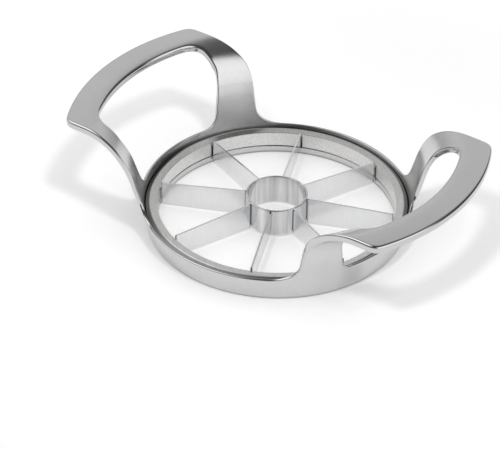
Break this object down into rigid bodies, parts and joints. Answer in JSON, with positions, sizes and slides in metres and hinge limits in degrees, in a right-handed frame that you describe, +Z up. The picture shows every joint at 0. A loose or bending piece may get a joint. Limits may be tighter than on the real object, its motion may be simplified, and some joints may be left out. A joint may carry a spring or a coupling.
{
  "type": "apple slicer",
  "caption": "Push-down apple slicer and corer: cast ring with loop handles, radial blades and a central corer tube.",
  "frame": {"origin": "on the table plane, on the ring's axis, which is the centre of the footprint", "axes": "+X along the two handles, +Y across them, +Z up along the ring's axis"},
  "size_m": [0.1614, 0.1038, 0.0411],
  "materials": {
    "cast_aluminium": "satin blasted faces with polished edges",
    "brushed_ring_steel": "brushed in straight parallel lines across the ring, turned groove along the outer edge",
    "blade_steel": "very fine grain along the height, ground lower edge",
    "corer_steel": "polished, faint rolling marks",
    "screw_steel": "plain machined"
  },
  "bodies": {
    "root": {"body_casting": "cast_aluminium", "seat_ring": "brushed_ring_steel", "blade_1": "blade_steel", "blade_2": "blade_steel", "blade_3": "blade_steel", "blade_4": "blade_steel", "blade_5": "blade_steel", "blade_6": "blade_steel", "blade_7": "blade_steel", "blade_8": "blade_steel", "corer_tube": "corer_steel", "ring_screw_1": "screw_steel", "ring_screw_2": "screw_steel", "ring_screw_3": "screw_steel", "ring_screw_4": "screw_steel"}
  },
  "joints": []
}
